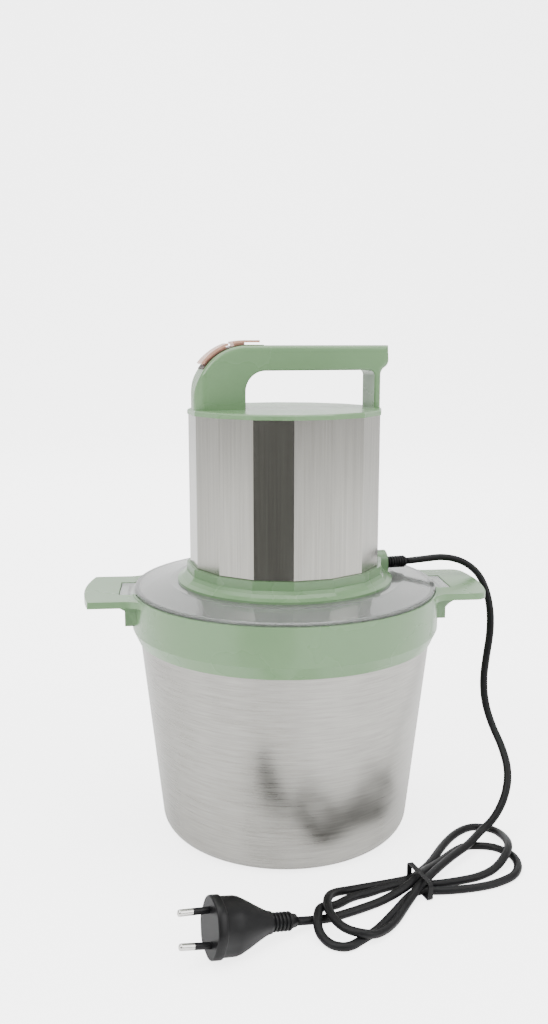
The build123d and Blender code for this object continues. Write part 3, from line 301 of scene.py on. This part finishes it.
finishes = {}
plastics = {
    "sageShell": {"colour": (0.150, 0.268, 0.130), "roughness": (0.24, 0.31), "cloud": 0.02, "bump": 0.03,
                  "set": {"Coat Weight": 0.2, "Coat Roughness": 0.12}},
    # painted shade: the switch bezel is coloured dark brown to stand in for the shadow in the gap under the
    # buttons
    "gapShadeBrown": {"colour": (0.045, 0.022, 0.014), "roughness": (0.35, 0.45)},
    "roseButton": {"colour": (0.74, 0.42, 0.30), "roughness": (0.22, 0.3),
                   "set": {"Metallic": 0.55, "Coat Weight": 0.4}},
    "blackMoulding": {"colour": (0.02, 0.02, 0.022), "roughness": (0.35, 0.5)},
    "whiteMoulding": {"colour": (0.75, 0.75, 0.72), "roughness": (0.4, 0.5)},
    "hubMoulding": {"colour": (0.66, 0.66, 0.63), "roughness": (0.35, 0.45)},
    "gearNylon": {"colour": (0.70, 0.66, 0.52), "roughness": (0.35, 0.5)},
    "blackSeal": {"colour": (0.018, 0.018, 0.018), "roughness": (0.55, 0.7)},
    "paleSilicone": {"colour": (0.62, 0.64, 0.63), "roughness": (0.4, 0.5),
                     "set": {"Subsurface Weight": 0.2, "Subsurface Scale": 0.002}},
    "graphite": {"colour": (0.035, 0.035, 0.038), "roughness": (0.5, 0.65)},
    "wireSleeve": {"colour": (0.30, 0.03, 0.03), "roughness": (0.4, 0.5)},
    "fanMoulding": {"colour": (0.03, 0.03, 0.032), "roughness": (0.4, 0.5)},
    "leadJacket": {"colour": (0.006, 0.006, 0.0065), "roughness": (0.36, 0.48), "bump": 0.06,
                   "grainScale": 1500, "set": {"Specular IOR Level": 0.22}},
    "plugShell": {"colour": (0.006, 0.006, 0.0065), "roughness": (0.34, 0.44), "bump": 0.05,
                  "set": {"Specular IOR Level": 0.25}},
}
for name, look in plastics.items():
    finishes[name] = mouldedPlastic(name, look)
metals = {
    "bowlSteel": {"stretch": (40, 40, 900), "patchScale": 9, "patchStretch": (1.6, 1.6, 0.35),
                  "dark": (0.25, 0.242, 0.222), "pale": (0.46, 0.452, 0.425),
                  "roughness": (0.24, 0.36), "set": {"Anisotropic": 0.3}},
    "sleeveSteel": {"stretch": (700, 700, 10), "patchScale": 26, "patchStretch": (1, 1, 0.12),
                    "dark": (0.25, 0.245, 0.222), "pale": (0.43, 0.422, 0.39), "roughness": (0.12, 0.19)},
    "bladeSteel": {"stretch": (400, 60, 400), "patchScale": 30,
                   "dark": (0.55, 0.55, 0.55), "pale": (0.75, 0.75, 0.74),
                   "roughness": (0.15, 0.28)},
    "castAluminium": {"stretch": (300, 300, 300), "patchScale": 60,
                      "dark": (0.50, 0.51, 0.52), "pale": (0.66, 0.67, 0.68),
                      "roughness": (0.42, 0.6), "bump": 0.2},
    "machinedSteel": {"stretch": (200, 200, 1200), "patchScale": 40,
                      "dark": (0.45, 0.46, 0.48), "pale": (0.62, 0.63, 0.65),
                      "roughness": (0.2, 0.3)},
    "bushBronze": {"stretch": (300, 300, 800), "patchScale": 60,
                   "dark": (0.42, 0.27, 0.10), "pale": (0.60, 0.42, 0.18),
                   "roughness": (0.3, 0.45)},
    "sheetEdges": {"stretch": (30, 30, 2200), "patchScale": 60,
                   "dark": (0.12, 0.12, 0.13), "pale": (0.30, 0.30, 0.32),
                   "roughness": (0.4, 0.55), "bump": 0.3},
    "windingCopper": {"stretch": (700, 700, 1800), "patchScale": 90,
                      "dark": (0.32, 0.10, 0.035), "pale": (0.62, 0.25, 0.10),
                      "roughness": (0.25, 0.4), "bump": 0.4},
    "turnedCopper": {"stretch": (1500, 1500, 60), "patchScale": 50,
                     "dark": (0.45, 0.20, 0.10), "pale": (0.75, 0.40, 0.24),
                     "roughness": (0.2, 0.3)},
    "pinNickel": {"stretch": (500, 500, 500), "patchScale": 200,
                  "dark": (0.62, 0.61, 0.58), "pale": (0.80, 0.79, 0.76),
                  "roughness": (0.16, 0.26)},
}
for name, look in metals.items():
    finishes[name] = brushedMetal(name, look)

lidLook = {
    "colour": (0.80, 0.825, 0.80, 1), "clear": 0.86, "bending": 1.2, "wearScale": 40, "roughness": (0.05, 0.14),
    "coat": 0.5, "coatRoughness": 0.08,
}
clearLid, lidTree, lidShader = newMaterial("clearLid")
lidShader.inputs["Base Color"].default_value = lidLook["colour"]
lidShader.inputs["Transmission Weight"].default_value = lidLook["clear"]
lidShader.inputs["IOR"].default_value = lidLook["bending"]
lidWear = noise(lidTree, objectPoint(lidTree), lidLook["wearScale"], 3)
lidTree.links.new(spread(lidTree, lidWear, *lidLook["roughness"]), lidShader.inputs["Roughness"])
lidShader.inputs["Coat Weight"].default_value = lidLook["coat"]
lidShader.inputs["Coat Roughness"].default_value = lidLook["coatRoughness"]
finishes["clearLid"] = clearLid

worn = {
    "sageShell": "bowl_collar base_housing top_cap handle_cover",
    # painted shade: the dark brown on the switch bezel stands in for the shadow under the buttons
    "gapShadeBrown": "switch_bezel",
    "roseButton": "low_speed_button high_speed_button",
    "blackMoulding": "low_speed_switch high_speed_switch brush_holders",
    "whiteMoulding": "switch_bracket blade_spacer",
    "hubMoulding": "blade_shaft blade_lock_ring",
    "gearNylon": "ring_gear planet_gear_1 planet_gear_2 planet_gear_3",
    "blackSeal": "output_seal",
    "paleSilicone": "lid_gasket",
    "graphite": "carbon_brushes",
    "wireSleeve": "wiring",
    "fanMoulding": "cooling_fan",
    "leadJacket": "strain_relief cord_tie",
    "plugShell": "plug_body plug_pin_sleeves",
    "bowlSteel": "bowl bowl_spindle",
    "sleeveSteel": "steel_sleeve",
    "bladeSteel": "lower_blade upper_blade",
    "castAluminium": "gearbox_housing gearbox_cover lower_bracket upper_bracket",
    "machinedSteel": "sun_gear planet_carrier planet_pins motor_shaft"
                     " output_bearing lower_bearing upper_bearing"
                     " gearbox_screws through_bolts tie_screws low_button_spring high_button_spring",
    "bushBronze": "blade_bush",
    "sheetEdges": "stator_core armature_core",
    "windingCopper": "field_coils armature_windings",
    "turnedCopper": "commutator",
    "pinNickel": "plug_pins",
    "clearLid": "lid",
}
for finish, names in worn.items():
    for name in names.split():
        slots = nodes[name].data.materials
        if len(slots) == 0:
            slots.append(finishes[finish])
        for place in range(len(slots)):
            slots[place] = finishes[finish]
print("materials ready")

# mains lead
lead = {
    "wide": 5.6, "thick": 5.0, "sides": 16, "samples": 10, "closest": 0.2,
    "upright": 0.2,  # how steep the lead gets before its flat side stops following the floor
    "untwist": 0.65,  # how slowly the flat side turns
    "fromHead": [
        (92.0, 16.7, 186.3), (106.5, 19.2, 187.0), (121.0, 20.8, 188.2), (135.0, 20.6, 185.2),
        (146.5, 18.4, 177.5), (152.5, 13.5, 166.0), (155.0, 8.0, 150.5), (154.0, 3.0, 134.0),
        (150.5, -0.5, 117.0), (148.0, -3.0, 100.5), (148.2, -7.5, 84.0), (151.5, -16.0, 69.0),
        (156.0, -28.5, 56.5), (157.0, -41.0, 43.5), (151.5, -51.5, 30.0), (141.5, -58.5, 17.0),
    ],
    # the hank, in the order that the lead is folded
    "toTie": [
        (130.6, -61.5, 9.5), (118.1, -75.9, 8.2), (104.8, -86.2, 7.2), (89.2, -102.4, 7.4),
        (79.6, -113.5, 7.4),
    ],
    "leftOuter": [
        (72.5, -120.2, 6.5), (68.6, -124.9, 4.5), (61.2, -134.2, 2.4), (49.7, -152.3, 2.3),
        (37.6, -163.6, 4.0), (29.8, -166.1, 6.7), (20.6, -162.1, 7.0), (14.4, -154.3, 8.0),
        (11.4, -144.0, 9.6), (12.6, -131.9, 9.6), (18.2, -121.5, 6.5), (28.3, -114.0, 2.8),
        (42.2, -110.4, 2.3), (59.1, -107.0, 2.3), (73.5, -103.3, 2.3),
    ],
    "rightOuter": [
        (80.6, -95.6, 2.3), (89.6, -86.1, 2.3), (102.8, -65.5, 2.3), (115.1, -50.5, 2.3), (126.6, -41.9, 2.3),
        (136.1, -40.4, 2.3), (146.5, -46.1, 2.3), (149.2, -60.4, 4.2), (147.0, -75.9, 6.9),
        (140.6, -88.2, 6.6), (129.9, -98.7, 3.0), (116.6, -105.7, 2.3), (104.8, -108.6, 2.3),
        (93.4, -110.6, 2.3), (83.3, -111.6, 2.3),
    ],
    "leftInner": [
        (72.6, -107.8, 2.3), (52.6, -112.3, 2.3), (40.9, -117.9, 2.3), (29.9, -120.7, 2.3),
        (17.9, -130.5, 2.6), (8.2, -136.8, 7.4), (4.5, -146.8, 8.2), (3.5, -158.3, 4.5), (8.6, -167.4, 2.3),
        (15.8, -171.3, 2.3), (21.8, -170.2, 2.3), (27.3, -165.9, 2.3), (38.8, -157.2, 2.3),
        (52.0, -141.4, 2.3), (59.1, -132.3, 2.3), (66.0, -123.5, 2.3), (74.0, -117.0, 2.3),
    ],
    "rightInner": [
        (85.4, -119.4, 2.3), (101.9, -119.0, 2.3), (118.8, -116.6, 2.3), (131.3, -111.8, 2.3),
        (141.0, -105.7, 2.3), (147.4, -95.1, 2.3), (148.3, -82.5, 2.3), (143.4, -74.4, 2.3),
        (136.0, -68.0, 2.3), (119.7, -65.9, 2.3), (109.1, -72.7, 2.3), (93.6, -88.4, 3.0), (82.3, -99.8, 5.4),
        (76.5, -107.0, 6.8),
    ],
    "toPlug": [
        (67.9, -116.4, 5.5), (49.7, -126.9, 2.6), (32.7, -134.5, 2.3), (20.0, -139.6, 2.3),
        (12.0, -142.8, 2.5), (1.0, -146.4, 4.4), (-8.6, -150.1, 6.7),
    ],
}
stretches = ("fromHead", "toTie", "leftOuter", "rightOuter", "leftInner", "rightInner", "toPlug")
route = [point for stretch in stretches for point in lead[stretch]]


def splineLine(name, points, samples):
    data = bpy.data.curves.new(name, "CURVE")
    data.dimensions = "3D"
    data.resolution_u = samples
    spline = data.splines.new("NURBS")
    spline.points.add(len(points) - 1)
    for place, point in zip(spline.points, points):
        place.co = (*(Vector(point) * mm), 1)
    spline.order_u = 3
    spline.use_endpoint_u = True
    curve = bpy.data.objects.new(name, data)
    scene.collection.objects.link(curve)
    bpy.context.view_layer.update()
    mesh = bpy.data.meshes.new_from_object(curve.evaluated_get(bpy.context.evaluated_depsgraph_get()))
    line = [vertex.co.copy() for vertex in mesh.vertices]
    bpy.data.objects.remove(curve)
    bpy.data.meshes.remove(mesh)
    kept = [line[0]]
    for point in line[1:]:
        if (point - kept[-1]).length > lead["closest"] * mm:
            kept.append(point)
    return kept


def flatTube(name, line, wide, thick, sides):
    def build(work):
        rings = []
        lastAcross = None
        for i, point in enumerate(line):
            ahead = (line[min(i + 1, len(line) - 1)] - line[max(i - 1, 0)]).normalized()
            across = ahead.cross(Vector((0, 0, 1)))
            if across.length < lead["upright"] and rings:
                across = lastAcross - ahead * lastAcross.dot(ahead)
            across.normalize()
            if rings and across.dot(lastAcross) < 0:
                across = -across
            if rings:
                across = across * (1 - lead["untwist"]) + lastAcross * lead["untwist"]
                across = (across - ahead * across.dot(ahead)).normalized()
            lastAcross = across
            rise = across.cross(ahead).normalized()
            ring = []
            for side in range(sides):
                angle = 2 * pi * side / sides
                offset = across * (wide / 2 * cos(angle)) + rise * (thick / 2 * sin(angle))
                ring.append(work.verts.new(point + offset))
            rings.append(ring)
        for lower, upper in zip(rings, rings[1:]):
            for side in range(sides):
                nextSide = (side + 1) % sides
                face = work.faces.new((lower[side], lower[nextSide], upper[nextSide], upper[side]))
                face.smooth = True
        work.faces.new(list(reversed(rings[0])))
        work.faces.new(rings[-1])
        bmesh.ops.recalc_face_normals(work, faces=work.faces)
    return joinMesh(name, build)


leadLine = splineLine("leadLine", route, lead["samples"])


# repeated details, grown by node groups
ringSteps = 40
sectionSteps = 10
turnSteps = 28


def newGroup(name, inputs):
    group = bpy.data.node_groups.new(name, "GeometryNodeTree")
    for label, (kind, value) in inputs.items():
        socket = group.interface.new_socket(label, in_out="INPUT", socket_type=kind)
        if value is not None:
            socket.default_value = value
    group.interface.new_socket("Geometry", in_out="OUTPUT", socket_type="NodeSocketGeometry")
    return group, group.nodes.new("NodeGroupInput").outputs, group.nodes.new("NodeGroupOutput")


def finishGroup(group, given, out, geometry):
    solid = addNode(group, "GeometryNodeRealizeInstances", {"Geometry": geometry}).outputs[0]
    painted = addNode(group, "GeometryNodeSetMaterial", {"Geometry": solid, "Material": given["Material"]})
    group.links.new(painted.outputs[0], out.inputs["Geometry"])
    return group


def ribRow():
    group, given, out = newGroup("ribRow", {
        "Count": ("NodeSocketInt", 6), "Pitch": ("NodeSocketFloat", 0.002),
        "Ring Radius": ("NodeSocketFloat", 0.004), "Rib Radius": ("NodeSocketFloat", 0.0006),
        "Material": ("NodeSocketMaterial", None),
    })
    step = addNode(group, "ShaderNodeCombineXYZ", {"Z": given["Pitch"]}).outputs[0]
    row = addNode(group, "GeometryNodeMeshLine", {"Count": given["Count"], "Offset": step}).outputs[0]
    ring = addNode(
        group, "GeometryNodeCurvePrimitiveCircle", {"Resolution": ringSteps, "Radius": given["Ring Radius"]}
    )
    section = addNode(
        group, "GeometryNodeCurvePrimitiveCircle", {"Resolution": sectionSteps, "Radius": given["Rib Radius"]}
    )
    rib = addNode(
        group, "GeometryNodeCurveToMesh", {"Curve": ring.outputs[0], "Profile Curve": section.outputs[0]}
    )
    ribs = addNode(group, "GeometryNodeInstanceOnPoints", {"Points": row, "Instance": rib.outputs[0]})
    return finishGroup(group, given, out, ribs.outputs[0])


def coil():
    group, given, out = newGroup("coil", {
        "Turns": ("NodeSocketFloat", 5.0), "Coil Radius": ("NodeSocketFloat", 0.0015),
        "Wire Radius": ("NodeSocketFloat", 0.0002), "Height": ("NodeSocketFloat", 0.006),
        "Material": ("NodeSocketMaterial", None),
    })
    line = addNode(group, "GeometryNodeCurveSpiral", {
        "Resolution": turnSteps, "Rotations": given["Turns"], "Start Radius": given["Coil Radius"],
        "End Radius": given["Coil Radius"], "Height": given["Height"],
    })
    section = addNode(
        group, "GeometryNodeCurvePrimitiveCircle", {"Resolution": sectionSteps, "Radius": given["Wire Radius"]}
    )
    wire = addNode(group, "GeometryNodeCurveToMesh", {
        "Curve": line.outputs[0], "Profile Curve": section.outputs[0], "Fill Caps": True})
    return finishGroup(group, given, out, wire.outputs[0])


def grown(name, group, values, place):
    seed = bpy.data.objects.new(name, bpy.data.meshes.new(name))
    scene.collection.objects.link(seed)
    modifier = seed.modifiers.new("grown", "NODES")
    modifier.node_group = group
    for item in group.interface.items_tree:
        if item.in_out == "INPUT" and item.name in values:
            modifier[item.identifier] = values[item.name]
    bpy.context.view_layer.update()
    mesh = bpy.data.meshes.new_from_object(seed.evaluated_get(bpy.context.evaluated_depsgraph_get()))
    bpy.data.objects.remove(seed)
    mesh.transform(place)
    mesh.name = name
    for face in mesh.polygons:
        face.use_smooth = True
    piece = bpy.data.objects.new(name, mesh)
    scene.collection.objects.link(piece)
    return piece


def stand(origin, axis, across):
    axis = Vector(axis).normalized()
    across = Vector(across)
    across = (across - axis * across.dot(axis)).normalized()
    side = axis.cross(across)
    turned = Matrix((across, side, axis)).transposed().to_4x4()
    return Matrix.Translation(Vector(origin) * mm) @ turned


def ringStack(work, place, rings):
    rows = [
        [work.verts.new(place @ Vector((u * mm, v * mm, reach * mm))) for u, v in ring] for reach, ring in rings
    ]
    count = len(rows[0])
    for lower, upper in zip(rows, rows[1:]):
        for i in range(count):
            j = (i + 1) % count
            work.faces.new((lower[i], lower[j], upper[j], upper[i])).smooth = True
    work.faces.new(list(reversed(rows[0])))
    work.faces.new(rows[-1])
    bmesh.ops.recalc_face_normals(work, faces=work.faces)


def roundRing(radius, sides=48):
    return [(radius * cos(2 * pi * i / sides), radius * sin(2 * pi * i / sides)) for i in range(sides)]


ribs = ribRow()
coilWire = coil()
headTurn = radians(10.3)  # of the motor head against the bowl
headAxis = Vector((cos(headTurn), sin(headTurn), 0))
headSide = Vector((-sin(headTurn), cos(headTurn), 0))


def headPoint(x, y, z):
    return headAxis * x + headSide * y + Vector((0, 0, z))


# strain relief: flange, tapered sleeve and ribs
reliefSize = {
    "axisHeight": 186.3,
    "outline": [  # distance along the head's X, radius
        (62.6, 3.3), (75.2, 3.45), (76.3, 3.45), (76.4, 4.9), (76.8, 5.3), (77.4, 5.3), (77.75, 4.9),
        (77.8, 3.95), (84.0, 3.85), (91.6, 3.75), (92.9, 3.5), (93.45, 2.9),
    ],
    "ribStart": 79.4, "ribs": 7, "pitch": 1.95, "ribRing": 3.85, "ribSize": 0.62,
}
reliefStand = stand(headPoint(0, 0, reliefSize["axisHeight"]), headAxis, headSide)
strainRelief = joinMesh("reliefSleeve", lambda work: ringStack(
    work, reliefStand, [(x, roundRing(radius)) for x, radius in reliefSize["outline"]]))
strainRelief.data.materials.append(finishes["leadJacket"])
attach(strainRelief, "head")
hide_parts("strain_relief")
reliefRibs = grown("reliefRibs", ribs, {
    "Count": reliefSize["ribs"], "Pitch": reliefSize["pitch"] * mm, "Ring Radius": reliefSize["ribRing"] * mm,
    "Rib Radius": reliefSize["ribSize"] * mm, "Material": finishes["leadJacket"],
}, reliefStand @ Matrix.Translation((0, 0, reliefSize["ribStart"] * mm)))
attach(reliefRibs, "head")
print("strain relief ready")

# plug: smooth shell with a step and a ribbed neck
plug = {
    "face": (-60.5, -170.3, 18.9), "end": (-8.6, -150.1, 7.3), "pinLine": (-0.0527, 0.5496, 0.8337),
    "sections": [  # distance from the pin face, width, depth
        (0.0, 32.6, 23.8), (0.35, 34.2, 25.3), (1.0, 35.0, 26.0), (5.2, 35.0, 26.0), (5.8, 34.6, 25.6),
        (6.05, 33.4, 24.4), (6.4, 33.0, 24.0), (15.0, 32.8, 23.8), (18.0, 31.4, 23.0), (24.0, 26.0, 20.0),
        (30.0, 19.8, 16.6), (35.0, 15.0, 13.8), (37.5, 13.2, 12.8), (39.4, 12.6, 12.2), (40.0, 10.0, 10.0),
        (52.6, 9.0, 9.0), (56.4, 7.4, 7.4),
    ],
    "flat": 0.42, "slope": 0.16,  # shares of the width and the depth
    "corner": 0.34, "cornerSteps": 5,
    "ribStart": 41.6, "ribs": 5, "pitch": 2.5, "ribRing": 4.75, "ribSize": 0.85,
}


def plugRing(width, depth):
    flat = width / 2 * plug["flat"]
    slope = depth * plug["slope"]
    corners = [(width / 2, slope), (flat, depth / 2), (-flat, depth / 2), (-width / 2, slope),
               (-width / 2, -slope), (-flat, -depth / 2), (flat, -depth / 2), (width / 2, -slope)]
    corners = [Vector(corner) for corner in corners]
    ring = []
    for i, corner in enumerate(corners):
        start = corner.lerp(corners[i - 1], plug["corner"])
        end = corner.lerp(corners[(i + 1) % len(corners)], plug["corner"])
        for step in range(plug["cornerSteps"] + 1):
            t = step / plug["cornerSteps"]
            point = start * (1 - t) ** 2 + corner * (2 * t * (1 - t)) + end * t ** 2
            ring.append((point.x, point.y))
    return ring


plugAxis = (Vector(plug["end"]) - Vector(plug["face"])).normalized()
plugStand = stand(plug["face"], plugAxis, plug["pinLine"])
plugShell = joinMesh("plugShell", lambda work: ringStack(
    work, plugStand, [(reach, plugRing(width, depth)) for reach, width, depth in plug["sections"]]))
plugShell.data.materials.append(finishes["plugShell"])
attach(plugShell, "head")
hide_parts("plug_body")
plugRibs = grown("plugRibs", ribs, {
    "Count": plug["ribs"], "Pitch": plug["pitch"] * mm, "Ring Radius": plug["ribRing"] * mm,
    "Rib Radius": plug["ribSize"] * mm, "Material": finishes["plugShell"],
}, plugStand @ Matrix.Translation((0, 0, plug["ribStart"] * mm)))
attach(plugRibs, "head")
print("plug ready")

# coil springs under the two buttons
bend = {"x": -29.5, "z": 308.0}
springs = {
    "low": {"lean": 125.5, "start": (0.0, 24.15), "joint": "low_button_press", "node": "low_button_spring"},
    "high": {"lean": 90.0, "start": (-4.5, 24.15), "joint": "high_button_press", "node": "high_button_spring"},
}
coilSize = {"turns": 4.5, "radius": 1.55, "wire": 0.3, "height": 5.3, "pressed": 0.76}
for name, spring in springs.items():
    lean = radians(spring["lean"])
    outward = headAxis * cos(lean) + Vector((0, 0, sin(lean)))
    shift, reach = spring["start"]
    base = headPoint(bend["x"] + shift, 0, bend["z"]) + outward * (reach + coilSize["wire"])
    wire = grown(name + "ButtonCoil", coilWire, {
        "Turns": coilSize["turns"], "Coil Radius": coilSize["radius"] * mm,
        "Wire Radius": coilSize["wire"] * mm, "Height": coilSize["height"] * mm,
        "Material": finishes["machinedSteel"],
    }, stand(base, outward, headSide))
    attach(wire, "head")
    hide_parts(spring["node"])
    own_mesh(wire)
print("button springs ready")

mainsLead = flatTube("mainsLead", leadLine, lead["wide"] * mm, lead["thick"] * mm, lead["sides"])
mainsLead.data.materials.append(finishes["leadJacket"])
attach(mainsLead, "head")
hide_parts("cord_lead", "cord_hank", "cord_tail")
print("mains lead laid")
